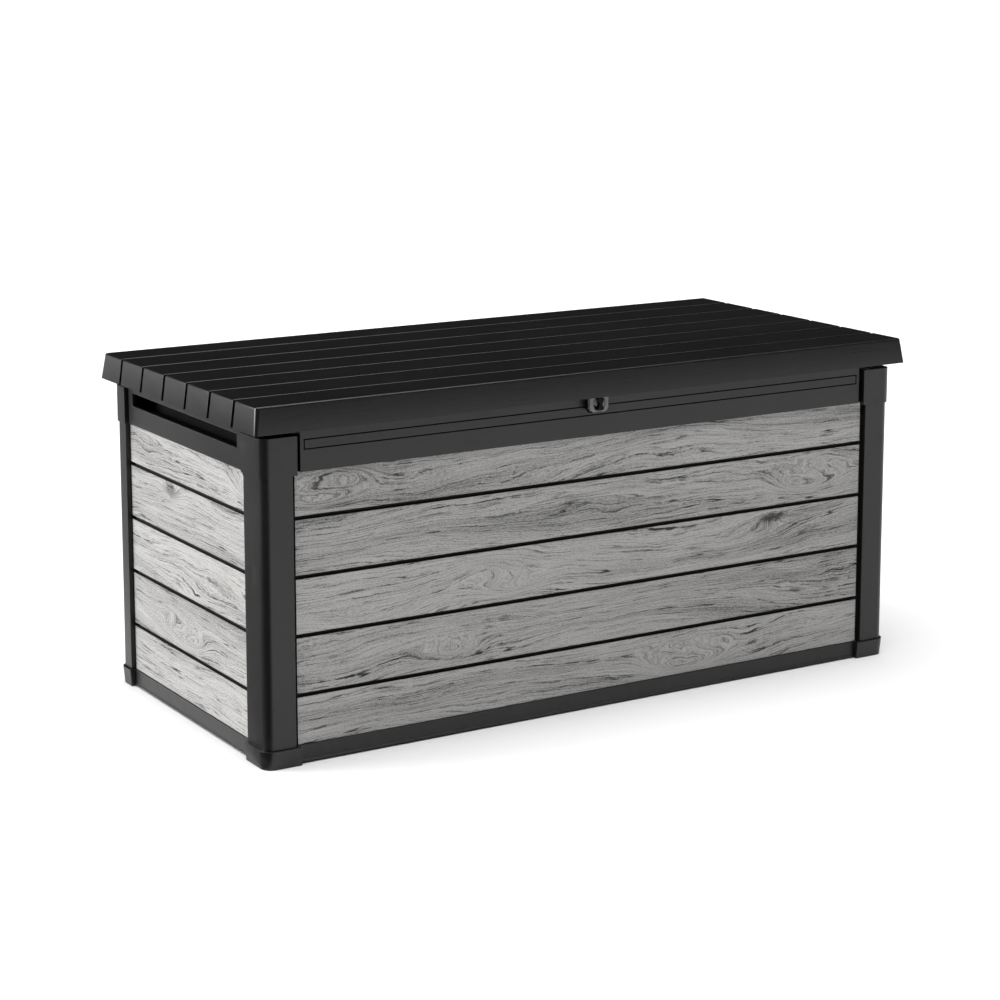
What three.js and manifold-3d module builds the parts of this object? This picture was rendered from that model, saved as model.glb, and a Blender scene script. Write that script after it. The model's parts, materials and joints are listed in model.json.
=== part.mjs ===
// Resin deck storage box with a hinged lid, in millimetres, +Z up.
// X runs along the box, the front faces -Y, and the origin is the middle of the ground
// under the box. The four feet stand on Z = 0.
import * as THREE from 'three';
import { mergeVertices } from 'three/addons/utils/BufferGeometryUtils.js';
import Module from 'manifold-3d';

const wasm = await Module();
wasm.setup();

// ---------------------------------------------------------------- driving dimensions

const GAP = 0.3;                 // clearance between pieces that touch
const EPS = 1;                   // how far a cutter runs past the face it cuts
const BITE = 0.5;                // how far a joined piece runs into the next one

// Lid, outside: half lengths and half depths at its lower edge and at its top
const LID_EDGE = { x: 760, y: 359, z: 638 };
const LID_TOP = { x: 753, y: 351.5, z: 690 };
const LID_WALL = 3.5;
const LID_BOARD_PITCH = 104;     // seven boards, so six grooves
const LID_GROOVE = { width: 9, depth: 4.5, backing: 4, backingWidth: 15 };
const LINER = { x: 747, y: 345, z0: 650.5, z1: 653 };
const STIFFENER = { x: 700, y: 104, width: 30, wall: 1.5 };

// Corner posts: half lengths to their outer faces, leg widths and section
const POST = { x: 737, y: 337, radius: 18, depth: 27, wall: 3.5, z0: 8.3, z1: 622.7 };
const POST_LEG_FRONT = 63;       // leg seen from the front and from behind
const POST_LEG_SIDE = { front: 79, rear: 48 };
const TONGUE_SLOT = { from: 12.7, to: 21.3, depth: 8 };

// Collar that caps each post, and foot that the post stands in
const COLLAR = { proud: 3, over: 11, side: 6, inside: 4, z0: 552.5, z1: 627, cap: 4, radius: 20 };
const FOOT = { proud: 5, over: 15, side: 8, inside: 4, height: 36, floor: 8, taper: 3, radius: 24 };

// Wall panels: board faces lie this far inside the post faces
const BOARD_RECESS = 9;
const BOARD_RISE = 6;            // boards stand this far above the floor of their grooves
const PANEL_DEPTH = 22;          // from the board faces to the inner face
const PANEL_SKIN = 2.2;          // the panels are hollow, open at the bottom
const GROOVE_Z = [132.2, 245.7, 357.8, 470];
const GROOVE_WIDTH = 7;
const PANEL_Z = { bottom: 7, boards: 36.5, boardsTop: 558, frontTop: 600, sideTop: 577 };
const PANEL_ENDS = { long: { boards: 9, plate: 11 }, side: { boards: 4, plate: 5 } };
const TONGUE = { from: 13, to: 21, reach: 7.5, root: 2, z0: 37, z1: 551 };

// Base rails between the feet
const BASE_RAIL = { recess: 7, z0: 3, z1: 36, wall: 3.5, depth: 28, ledge: 19.7, lip: 1.5, lipHeight: 4 };

// Top rails between the collars
const TOP_RAIL = { z1: 650, wall: 4, overPanel: 2 };
const FRONT_RAIL = { x: 657.5, y: 334, back: 300, z0: 557, backZ0: 585 };
const RAIL_OUTLINE = { x: 650, z0: 598, z1: 618.5, width: 2.5, depth: 1.6 };
const SIDE_RAIL = {
  x: 733, inner: 686, y0: -249, y1: 280, z0: 552.5, backZ0: 556, pocketFloor: 579, floor: 3,
};
const HAND_SLOT = { y0: -225, y1: 260, z0: 592, z1: 618, rim: 4, rimDepth: 7 };
const EAR = { flat: 2, radius: 9, steps: 6 };

// Tenons on the rails' ends, which go into mortises in the collars
const LONG_TENON = { x: 672.7, y0: 308, y1: 326, z0: 604, z1: 622 };
const SIDE_TENON = { x0: 712, x1: 726, z0: 590, z1: 620, reach: 8.5 };
const MORTISE_DEPTH = 2;

// Floor, in two halves
const FLOOR = { x: 704.5, y: 305.5, z0: 20, z1: 23.5, foot: 3, inset: 4, rib: 3, pitch: 140 };

// Lid hinges
const HINGE = {
  y: 350, z: 632, xs: [-500, 0, 500], barrel: 5.5, pin: 2.5, pinHead: 3.7,
  half: 40, knuckle: 20, knuckleGap: 0.5,
};
const LEAF = {
  thickness: 2.5, body0: 592, bodyTop: 0.5, arm: 4, lid0: 641, lid1: 668, lidY: 345.5, lidHalf: 34,
};
const HINGE_SCREW = { dx: 24, bodyZ: 606, lidZ: 658 };
const LID_PAD = { y: 348.3, z0: 644, z1: 672, bore: 354.5 };

// Gas struts: both studs lie on one circle about the hinge line, so that each strut
// turns by half of the lid's angle
const STRUT = {
  x: 672, reach: 300, start: 182.9, spread: 70, cylinder: 290, rod: 318,
  radius: 9, bore: 5.2, boreStart: 22, neck: 5, neckEnd: 20, tubeStart: 16, rodRadius: 4.5,
  stud: 4, eye: 8, eyeHalf: 5,
};
const WALL_BRACKET = { halfY: 19, halfZ: 26, plate: 3, boss: 7, screwDz: 18, pad: 6 };
const LID_BRACKET = { x0: 684, x1: 648, halfY: 20, below: 10, plate: 3, screwX: 658, screwDy: 12 };

// Screws with pan heads
const SCREW = { head: 4.2, headHeight: 2.2, crown: 0.7, shank: 1.9, tip: 1.5, length: 8 };

// Turn lock on the lid's front edge
const LOCK = {
  x: -12, z: 624, tabHalf: 21.5, tabBottom: 608, tabRadius: 11, tabTop: 650.2, y0: 352, y1: 344,
  flangeBack: 335.3, flange: 3.5, screwDx: 15, screwY: 339.6,
};
const KNOB = { radius: 14, seat: 348, disc: 3.2, shaft: 5, hole: 3, holeY: 354.5 };
const FIN = { half: 11, endHalf: 8, waistHalf: 3.2, y: 358.8 };
const CAM = { reach: 14.5, half: 3.5, hub: 7.5, y0: 343.7, y1: 339.4 };
const KEEPER = {
  x0: 9, x1: 16.8, z0: 609.5, z1: 634, plate: 2, ledge: 4, reach: 342, screwX: 12.9, screwZ: 613.5,
};
const LOCK_POCKET = { half: 18.5, z0: 604, radius: 10, depth: 2 };

// ---------------------------------------------------------------- materials

const charcoal = { color: 0x2b2b2c, roughness: 0.55, metalness: 0 };
const lidBlack = { color: 0x232324, roughness: 0.5, metalness: 0 };
const greyWood = { color: 0x8b8a87, roughness: 0.7, metalness: 0 };
const lockGrey = { color: 0x6d6d6e, roughness: 0.35, metalness: 0 };
const steel = { color: 0xb4b6b8, roughness: 0.3, metalness: 1 };
const blackPaint = { color: 0x151516, roughness: 0.35, metalness: 0.2 };

// ---------------------------------------------------------------- solids

const toSolid = (geometry) => {
  const bare = geometry.clone();
  bare.deleteAttribute('normal');
  bare.deleteAttribute('uv');
  const merged = mergeVertices(bare, 1e-4);
  return new wasm.Manifold(new wasm.Mesh({
    numProp: 3,
    vertProperties: new Float32Array(merged.attributes.position.array),
    triVerts: new Uint32Array(merged.index.array),
  }));
};

const toGeometry = (solid) => {
  const mesh = solid.getMesh();
  const geometry = new THREE.BufferGeometry();
  const positions = new Float32Array(mesh.vertProperties);
  geometry.setAttribute('position', new THREE.BufferAttribute(positions, 3));
  geometry.setIndex(new THREE.BufferAttribute(new Uint32Array(mesh.triVerts), 1));
  return geometry;
};

const join = (...geometries) => toGeometry(
  geometries.map(toSolid).reduce((whole, piece) => whole.add(piece)));

const cut = (base, ...cutters) => toGeometry(
  cutters.map(toSolid).reduce((rest, cutter) => rest.subtract(cutter), toSolid(base)));

const overlap = (a, b) => toGeometry(toSolid(a).intersect(toSolid(b)));

// A box between two corners
const block = (x0, x1, y0, y1, z0, z1) => new THREE.BoxGeometry(
  Math.abs(x1 - x0), Math.abs(y1 - y0), Math.abs(z1 - z0),
).translate((x0 + x1) / 2, (y0 + y1) / 2, (z0 + z1) / 2);

// A box whose top is smaller than its bottom: half sizes low and high
const frustum = (low, high) => {
  const geometry = new THREE.BoxGeometry(2, 2, 1).translate(0, 0, 0.5);
  const p = geometry.attributes.position;
  for (let i = 0; i < p.count; i += 1) {
    const end = p.getZ(i) > 0.5 ? high : low;
    p.setXYZ(i, p.getX(i) * end.x, p.getY(i) * end.y, end.z);
  }
  return geometry;
};

const cylinderX = (radius, x0, x1, y, z, sides = 16) => new THREE.CylinderGeometry(
  radius, radius, x1 - x0, sides,
).rotateZ(Math.PI / 2).translate((x0 + x1) / 2, y, z);

const cylinderY = (radius, y0, y1, x, z, sides = 24) => new THREE.CylinderGeometry(
  radius, radius, y1 - y0, sides,
).translate(x, (y0 + y1) / 2, z);

// An outline from corner points [u, v] or [u, v, radius], with round corners as arcs
const outline = (corners, steps = 6) => {
  const points = corners.flatMap((corner, i) => {
    const [u, v, radius = 0] = corner;
    const here = new THREE.Vector2(u, v);
    if (radius === 0) return [here];
    const toward = (j) => {
      const [toU, toV] = corners.at(j % corners.length);
      return new THREE.Vector2(toU, toV).sub(here).normalize();
    };
    const before = toward(i - 1);
    const after = toward(i + 1);
    const half = Math.acos(THREE.MathUtils.clamp(before.dot(after), -1, 1)) / 2;
    const inward = before.clone().add(after).normalize();
    const centre = here.clone().addScaledVector(inward, radius / Math.sin(half));
    const start = before.clone().multiplyScalar(radius / Math.tan(half)).add(here).sub(centre);
    const sweep = (Math.PI - 2 * half) * Math.sign(before.cross(after)) * -1;
    return Array.from({ length: steps + 1 }, (_, k) => start.clone()
      .rotateAround(new THREE.Vector2(), (sweep * k) / steps).add(centre));
  });
  if (THREE.ShapeUtils.isClockWise(points)) points.reverse();
  return new THREE.Shape(points);
};

const prismZ = (shape, z0, z1) => new THREE.ExtrudeGeometry(
  shape, { depth: z1 - z0, bevelEnabled: false }).translate(0, 0, z0);

// A shape drawn in (X, Z), pushed along Y from y0 to y1
const prismY = (shape, y0, y1) => new THREE.ExtrudeGeometry(
  shape, { depth: y1 - y0, bevelEnabled: false }).rotateX(Math.PI / 2).translate(0, y1, 0);

// The same geometry seen in a mirror that stands across X or Y
const mirrored = (geometry, axis) => {
  const copy = geometry.index ? geometry.clone() : mergeVertices(geometry);
  copy.scale(axis === 'x' ? -1 : 1, axis === 'y' ? -1 : 1, 1);
  const index = copy.index.array;
  for (let i = 0; i < index.length; i += 3) [index[i + 1], index[i + 2]] = [index[i + 2], index[i + 1]];
  copy.deleteAttribute('normal');
  return copy;
};

// ---------------------------------------------------------------- the assembly

const group = new THREE.Group();

const add = (name, geometry, finish) => {
  const bare = geometry.clone();
  bare.deleteAttribute('uv');
  if (!bare.attributes.normal) bare.computeVertexNormals();
  const mesh = new THREE.Mesh(bare, new THREE.MeshStandardMaterial(finish));
  mesh.name = name;
  group.add(mesh);
};

const CORNERS = [
  { name: 'front_left', sx: -1, sy: -1, side: 'front' },
  { name: 'front_right', sx: 1, sy: -1, side: 'front' },
  { name: 'rear_left', sx: -1, sy: 1, side: 'rear' },
  { name: 'rear_right', sx: 1, sy: 1, side: 'rear' },
];

// An L drawn from an outer corner of the box at (x, y): leg a runs along X and leg b along Y
const cornerL = ({ sx, sy }, x, y, a, b, depth, radius) => outline([
  [0, 0, radius], [a, 0], [a, depth], [depth, depth], [depth, b], [0, b],
].map(([u, v, r]) => [sx * (x - u), sy * (y - v), r]));

// ---- corner posts: hollow L sections with a slot in each leg for the panel tongues

const postLeg = (corner) => POST_LEG_SIDE[corner.side];

const postSection = (corner) => {
  const a = POST_LEG_FRONT;
  const b = postLeg(corner);
  const { radius, depth: t, wall: w } = POST;
  const { from, to, depth: d } = TONGUE_SLOT;
  const place = ([u, v, r]) => [corner.sx * (POST.x - u), corner.sy * (POST.y - v), r];
  const shape = outline([
    [0, 0, radius],
    [a, 0], [a, from], [a - d, from], [a - d, to], [a, to], [a, t],
    [t, t],
    [t, b], [to, b], [to, b - d], [from, b - d], [from, b], [0, b],
  ].map(place));
  shape.holes.push(outline([
    [w, w, radius - w], [a - d - w, w], [a - d - w, t - w],
    [t - w, t - w], [t - w, b - d - w], [w, b - d - w],
  ].map(place)));
  return shape;
};

// The space that a post needs, with clearance all round
const postRoom = (corner, z0, z1) => prismZ(cornerL(
  corner, POST.x + GAP, POST.y + GAP, POST_LEG_FRONT + 2 * GAP, postLeg(corner) + 2 * GAP,
  POST.depth + 2 * GAP, POST.radius), z0, z1);

const collar = (corner) => {
  const { proud, over, side, inside, z0, z1, cap, radius } = COLLAR;
  const { sx, sy } = corner;
  const sleeve = prismZ(cornerL(
    corner, POST.x + proud, POST.y + proud, POST_LEG_FRONT + over, postLeg(corner) + side,
    POST.depth + proud + inside, radius), z0, z1);
  const endX = POST.x - POST_LEG_FRONT;
  const endY = POST.y - postLeg(corner);
  const longMortise = block(
    sx * (endX + MORTISE_DEPTH), sx * (endX - over - EPS),
    sy * (LONG_TENON.y1 + GAP), sy * (LONG_TENON.y0 - GAP), LONG_TENON.z0 - GAP, LONG_TENON.z1 + GAP);
  const sideMortise = block(
    sx * (SIDE_TENON.x1 + GAP), sx * (SIDE_TENON.x0 - GAP),
    sy * (endY + MORTISE_DEPTH), sy * (endY - side - 2 * EPS), SIDE_TENON.z0 - GAP, SIDE_TENON.z1 + GAP);
  return cut(sleeve, postRoom(corner, z0 - EPS, z1 - cap), longMortise, sideMortise);
};

const foot = (corner) => {
  const { proud, over, side, inside, height, floor, taper, radius } = FOOT;
  const x = POST.x + proud;
  const y = POST.y + proud;
  const depth = POST.depth + proud + inside;
  const cup = prismZ(cornerL(
    corner, x, y, POST_LEG_FRONT + over, postLeg(corner) + side, depth, radius), 0, height);
  const p = cup.attributes.position;
  for (let i = 0; i < p.count; i += 1) {
    const lean = taper * (1 - p.getZ(i) / height);
    const shareX = Math.max(0, 1 - (x - Math.abs(p.getX(i))) / depth);
    const shareY = Math.max(0, 1 - (y - Math.abs(p.getY(i))) / depth);
    p.setX(i, p.getX(i) - corner.sx * lean * shareX);
    p.setY(i, p.getY(i) - corner.sy * lean * shareY);
  }
  return cut(cup, postRoom(corner, floor, height + EPS));
};

for (const corner of CORNERS) {
  add(`corner_post_${corner.name}`, prismZ(postSection(corner), POST.z0, POST.z1), charcoal);
  add(`post_collar_${corner.name}`, collar(corner), charcoal);
  add(`foot_${corner.name}`, foot(corner), charcoal);
}

// ---- wall panels, drawn facing -Y: u runs along the wall, depth runs inwards

const grooveEdges = GROOVE_Z.flatMap((z) => [z - GROOVE_WIDTH / 2, z + GROOVE_WIDTH / 2]);
const boardEdges = [PANEL_Z.boards, ...grooveEdges, PANEL_Z.boardsTop];

// The outer post face lies at v = 0, and the panel spans u0 to u1 between two posts
const panel = (u0, u1, ends, top) => {
  const face = BOARD_RECESS;
  const grooveFloor = face + BOARD_RISE;
  const back = face + PANEL_DEPTH;
  const t = PANEL_SKIN;
  const plate0 = u0 + ends.plate;
  const plate1 = u1 - ends.plate;
  const body = [block(plate0, plate1, grooveFloor, back, PANEL_Z.bottom, top)];
  const hollows = [block(plate0 + t, plate1 - t, grooveFloor + t, back - t, PANEL_Z.bottom - EPS, top - t)];
  for (let i = 0; i < boardEdges.length; i += 2) {
    const [z0, z1] = boardEdges.slice(i, i + 2);
    body.push(block(u0 + ends.boards, u1 - ends.boards, face, grooveFloor + BITE, z0, z1));
    hollows.push(block(plate0 + t, plate1 - t, face + t, grooveFloor + t + BITE, z0 + t, z1 - t));
  }
  const tongue = (a, b) => block(a, b, TONGUE.from, TONGUE.to, TONGUE.z0, TONGUE.z1);
  body.push(tongue(u0 - TONGUE.reach, plate0 + TONGUE.root));
  body.push(tongue(plate1 - TONGUE.root, u1 + TONGUE.reach));
  return cut(join(...body), ...hollows);
};

const frontEnd = POST.x - POST_LEG_FRONT;
const frontPanel = panel(-frontEnd, frontEnd, PANEL_ENDS.long, PANEL_Z.frontTop).translate(0, -POST.y, 0);
add('front_panel', frontPanel, greyWood);
add('rear_panel', mirrored(frontPanel, 'y'), greyWood);

const sideEnds = [-(POST.y - POST_LEG_SIDE.front), POST.y - POST_LEG_SIDE.rear];
const strutStud = (angle) => {
  const turn = THREE.MathUtils.degToRad(angle);
  return { y: HINGE.y + STRUT.reach * Math.cos(turn), z: HINGE.z + STRUT.reach * Math.sin(turn) };
};
const lidStud = strutStud(STRUT.start);
const boxStud = strutStud(STRUT.start + STRUT.spread);
const panelInner = POST.x - BOARD_RECESS - PANEL_DEPTH;

// The left wall: its u runs against Y. A solid pad inside the hollow takes the strut's bracket
const hollowPanel = panel(-sideEnds[1], -sideEnds[0], PANEL_ENDS.side, PANEL_Z.sideTop)
  .rotateZ(-Math.PI / 2).translate(-POST.x, 0, 0);
const wallPlate = (x0, x1) => block(
  x0, x1, boxStud.y - WALL_BRACKET.halfY, boxStud.y + WALL_BRACKET.halfY,
  boxStud.z - WALL_BRACKET.halfZ, boxStud.z + WALL_BRACKET.halfZ);
const strutPad = wallPlate(-panelInner - PANEL_SKIN - WALL_BRACKET.pad, -panelInner);
const wallScrewZ = [boxStud.z - WALL_BRACKET.screwDz, boxStud.z + WALL_BRACKET.screwDz];
const wallBores = (x0, x1) => wallScrewZ.map((z) => cylinderX(SCREW.shank + GAP, x0, x1, boxStud.y, z, 8));
const padBores = wallBores(-panelInner - SCREW.length + EPS, -panelInner + EPS);
const leftPanel = cut(join(hollowPanel, strutPad), ...padBores);
add('left_panel', leftPanel, greyWood);
add('right_panel', mirrored(leftPanel, 'x'), greyWood);

// ---- base rails: channels between the feet that carry the panels and the floor

const baseRail = (u0, u1) => {
  const { recess, z0, z1, wall, depth, ledge, lip, lipHeight } = BASE_RAIL;
  const back = recess + depth;
  return join(
    block(u0, u1, recess, recess + wall, z0, z1),
    block(u0, u1, recess - lip, recess + BITE, z0, z0 + lipHeight),
    block(u0, u1, recess, back, z0, z0 + wall),
    block(u0, u1, back - wall, back, z0, ledge));
};

const footEndX = POST.x - POST_LEG_FRONT - FOOT.over + FOOT.proud;
const footEndY = (side) => POST.y - POST_LEG_SIDE[side] - FOOT.side + FOOT.proud;
const frontBaseRail = baseRail(-footEndX + GAP, footEndX - GAP).translate(0, -POST.y, 0);
add('base_rail_front', frontBaseRail, charcoal);
add('base_rail_rear', mirrored(frontBaseRail, 'y'), charcoal);
const leftBaseRail = baseRail(-footEndY('rear') + GAP, footEndY('front') - GAP)
  .rotateZ(-Math.PI / 2).translate(-POST.x, 0, 0);
add('base_rail_left', leftBaseRail, charcoal);
add('base_rail_right', mirrored(leftBaseRail, 'x'), charcoal);

// ---- floor: two ribbed trays that meet in the middle

const floorHalf = () => {
  const { x, y, z0, z1, foot: z, inset, rib, pitch } = FLOOR;
  const x0 = -x + inset;
  const x1 = -GAP;
  const bays = Math.ceil((x1 - x0) / pitch);
  const pieces = [block(-x, x1, -y, y, z0, z1)];
  for (let i = 0; i <= bays; i += 1) {
    const place = x0 + ((x1 - x0 - rib) * i) / bays;
    pieces.push(block(place, place + rib, -y + inset, y - inset, z, z0 + BITE));
  }
  for (const side of [-1, 1]) {
    pieces.push(block(x0, x1, side * (y - inset), side * (y - inset - rib), z, z0 + BITE));
  }
  return join(...pieces);
};
const floorLeft = floorHalf();
add('floor_left', floorLeft, charcoal);
add('floor_right', mirrored(floorLeft, 'x'), charcoal);

// ---- fasteners: one pan-head screw, drawn along +Z with the underside of its head at Z = 0

const screw = () => new THREE.LatheGeometry([
  [0, -SCREW.length], [SCREW.shank, -SCREW.length + SCREW.tip], [SCREW.shank, 0], [SCREW.head, 0],
  [SCREW.head, SCREW.headHeight / 2], [SCREW.head * SCREW.crown, SCREW.headHeight], [0, SCREW.headHeight],
].map(([r, z]) => new THREE.Vector2(r, z)), 10).rotateX(Math.PI / 2);

// The turn that points a screw's head along an axis
const TURNS = {
  '+y': (g) => g.rotateX(-Math.PI / 2),
  '-y': (g) => g.rotateX(Math.PI / 2),
  '-z': (g) => g.rotateX(Math.PI),
};
const screwAt = (facing, x, y, z) => TURNS[facing](screw()).translate(x, y, z);

// ---- front and rear top rails: inverted channels over the panels' upper edges

const longRail = () => {
  const { x, y, back, z0, backZ0 } = FRONT_RAIL;
  const { z1, wall, overPanel } = TOP_RAIL;
  const pieces = [
    block(-x, x, -y, -y + wall, z0, z1),
    block(-x, x, -y, -back, z1 - wall, z1),
    block(-x, x, -back - wall, -back, backZ0, z1),
  ];
  for (const end of [-1, 1]) {
    pieces.push(block(end * x, end * (x - wall), -y, -back, PANEL_Z.frontTop + overPanel, z1));
    pieces.push(block(
      end * (x - wall), end * LONG_TENON.x, -LONG_TENON.y1, -LONG_TENON.y0, LONG_TENON.z0, LONG_TENON.z1));
  }
  return join(...pieces);
};

const railOutline = () => {
  const { x, z0, z1, width: w, depth } = RAIL_OUTLINE;
  const ring = outline([[-x, z0], [x, z0], [x, z1], [-x, z1]]);
  ring.holes.push(outline([[-x + w, z0 + w], [x - w, z0 + w], [x - w, z1 - w], [-x + w, z1 - w]]));
  return prismY(ring, -FRONT_RAIL.y - EPS, -FRONT_RAIL.y + depth);
};

// A shallow pocket in the front rail behind the lock tab, open at the rail's top
const lockPocket = () => {
  const { half, z0, radius, depth } = LOCK_POCKET;
  const top = TOP_RAIL.z1 + EPS;
  const shape = outline([
    [LOCK.x - half, z0, radius], [LOCK.x + half, z0, radius], [LOCK.x + half, top], [LOCK.x - half, top]]);
  return prismY(shape, -FRONT_RAIL.y - EPS, -FRONT_RAIL.y + depth);
};
const keeperSeat = FRONT_RAIL.y - LOCK_POCKET.depth;
const keeperFront = keeperSeat + GAP + KEEPER.plate;

const screwBoreY = (y0, y1, x, z) => cylinderY(SCREW.shank + GAP, y0, y1, x, z, 8);
const screwBoreZ = (z0, z1, x, y) => new THREE.CylinderGeometry(
  SCREW.shank + GAP, SCREW.shank + GAP, z1 - z0, 8,
).rotateX(Math.PI / 2).translate(x, y, (z0 + z1) / 2);
const keeperBore = screwBoreY(
  -keeperFront - EPS, -FRONT_RAIL.y + TOP_RAIL.wall + EPS, LOCK.x + KEEPER.screwX, KEEPER.screwZ);
add('front_top_rail', cut(longRail(), railOutline(), lockPocket(), keeperBore), charcoal);

const hingeScrewXs = HINGE.xs.flatMap((x) => [x - HINGE_SCREW.dx, x + HINGE_SCREW.dx]);
const bodyLeafScrews = hingeScrewXs.map((x) => [x, HINGE_SCREW.bodyZ]);
const lidLeafScrews = hingeScrewXs.map((x) => [x, HINGE_SCREW.lidZ]);
const rearBores = bodyLeafScrews.map(([x, z]) => screwBoreY(
  FRONT_RAIL.y - TOP_RAIL.wall - EPS, FRONT_RAIL.y + EPS, x, z));
add('rear_top_rail', cut(mirrored(longRail(), 'y'), ...rearBores), charcoal);

// ---- side rails: box sections with a hand-hold slot through the outer wall

const leftRail = () => {
  const { x, inner, y0, y1, z0, backZ0, pocketFloor, floor } = SIDE_RAIL;
  const { z1, wall } = TOP_RAIL;
  const { reach, ...tenon } = SIDE_TENON;
  const earEnd = EAR.flat + EAR.radius;
  const fillet = Array.from({ length: EAR.steps + 1 }, (_, i) => {
    const turn = (Math.PI / 2) * (i / EAR.steps);
    return [earEnd - EAR.radius * Math.cos(turn), EAR.radius * (Math.sin(turn) - 1)];
  });
  const ear = prismY(outline([[0, BITE], [0, -EAR.radius], ...fillet, [earEnd, BITE]]), -wall, 0);
  const pieces = [
    block(-x, -x + wall, y0, y1, z0, z1),
    block(-x, -inner, y0, y1, z1 - wall, z1),
    block(-inner - wall, -inner, y0, y1, backZ0, z1),
    block(-x, -inner, y0, y1, pocketFloor, pocketFloor + floor),
    block(-x, -inner, y0, y0 + wall, pocketFloor, z1),
    block(-x, -inner, y1 - wall, y1, pocketFloor, z1),
    block(-x, -x + HAND_SLOT.rimDepth, HAND_SLOT.y0 - HAND_SLOT.rim, HAND_SLOT.y1 + HAND_SLOT.rim,
      HAND_SLOT.z0 - HAND_SLOT.rim, HAND_SLOT.z1 + HAND_SLOT.rim),
    block(-tenon.x1, -tenon.x0, y0 - reach, y0 + EPS, tenon.z0, tenon.z1),
    block(-tenon.x1, -tenon.x0, y1 - EPS, y1 + reach, tenon.z0, tenon.z1),
    ear.rotateZ(Math.PI / 2).translate(-x, y0, z0),
  ];
  const slot = block(-x - EPS, -x + HAND_SLOT.rimDepth + EPS, HAND_SLOT.y0, HAND_SLOT.y1,
    HAND_SLOT.z0, HAND_SLOT.z1);
  return cut(join(...pieces), slot);
};
const sideRailLeft = leftRail();
add('side_rail_left', sideRailLeft, charcoal);
add('side_rail_right', mirrored(sideRailLeft, 'x'), charcoal);

// ---- lid: a flared shell of seven boards, closed underneath by a liner

const inset = (end, dx, dy, z) => ({ x: end.x - dx, y: end.y - dy, z });
const grooveYs = Array.from({ length: 6 }, (_, i) => (i - 2.5) * LID_BOARD_PITCH);
const slabs = (width) => join(...grooveYs.map((y) => block(
  -LID_EDGE.x - EPS, LID_EDGE.x + EPS, y - width / 2, y + width / 2, LID_EDGE.z - EPS, LID_TOP.z + EPS)));

const lidShell = () => {
  const { width, depth, backing, backingWidth } = LID_GROOVE;
  const deep = depth + backing;
  const outer = frustum(LID_EDGE, LID_TOP);
  const cavity = frustum(
    inset(LID_EDGE, LID_WALL, LID_WALL, LID_EDGE.z - EPS),
    inset(LID_TOP, LID_WALL, LID_WALL, LID_TOP.z - LID_WALL));
  const behindGrooves = cut(
    overlap(slabs(backingWidth), outer),
    frustum(inset(LID_EDGE, deep, -EPS, LID_EDGE.z - EPS), inset(LID_TOP, deep, -EPS, LID_TOP.z - deep)));
  const underGrooves = frustum(
    inset(LID_EDGE, depth, -EPS, LID_EDGE.z - 2 * EPS),
    inset(LID_TOP, depth, -EPS, LID_TOP.z - depth));
  const grooves = cut(slabs(width), underGrooves);
  const pads = HINGE.xs.map((x) => overlap(outer, block(
    x - LEAF.lidHalf, x + LEAF.lidHalf, LID_PAD.y, LID_EDGE.y, LID_PAD.z0, LID_PAD.z1)));
  const bores = lidLeafScrews.map(([x, z]) => screwBoreY(LID_PAD.y - EPS, LID_PAD.bore, x, z));
  return cut(join(cut(outer, cavity), behindGrooves, ...pads), grooves, ...bores);
};
add('lid_shell', lidShell(), lidBlack);

const lidBracketScrews = [-LID_BRACKET.screwDy, LID_BRACKET.screwDy].map((dy) => [
  LID_BRACKET.screwX, lidStud.y + dy]);
const tabScrews = [-LOCK.screwDx, LOCK.screwDx].map((dx) => [LOCK.x + dx, -LOCK.screwY]);
const linerBores = [
  ...[-1, 1].flatMap((side) => lidBracketScrews.map(([x, y]) => [side * x, y])),
  ...tabScrews,
].map(([x, y]) => screwBoreZ(LINER.z0 - EPS, LINER.z1 + EPS, x, y));
const linerSheet = block(-LINER.x, LINER.x, -LINER.y, LINER.y, LINER.z0, LINER.z1);
add('lid_liner', cut(linerSheet, ...linerBores), lidBlack);

for (const [name, side] of [['front', -1], ['rear', 1]]) {
  const { x, y, width, wall } = STIFFENER;
  const z0 = LINER.z1 + GAP;
  const z1 = LID_TOP.z - LID_WALL - GAP;
  const yMid = side * y;
  add(`lid_stiffener_${name}`, cut(
    block(-x, x, yMid - width / 2, yMid + width / 2, z0, z1),
    block(-x - EPS, x + EPS, yMid - width / 2 + wall, yMid + width / 2 - wall, z0 + wall, z1 - wall)), steel);
}

// ---- hinges: two outer knuckles on the box, one between them on the lid, and a pin

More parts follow.
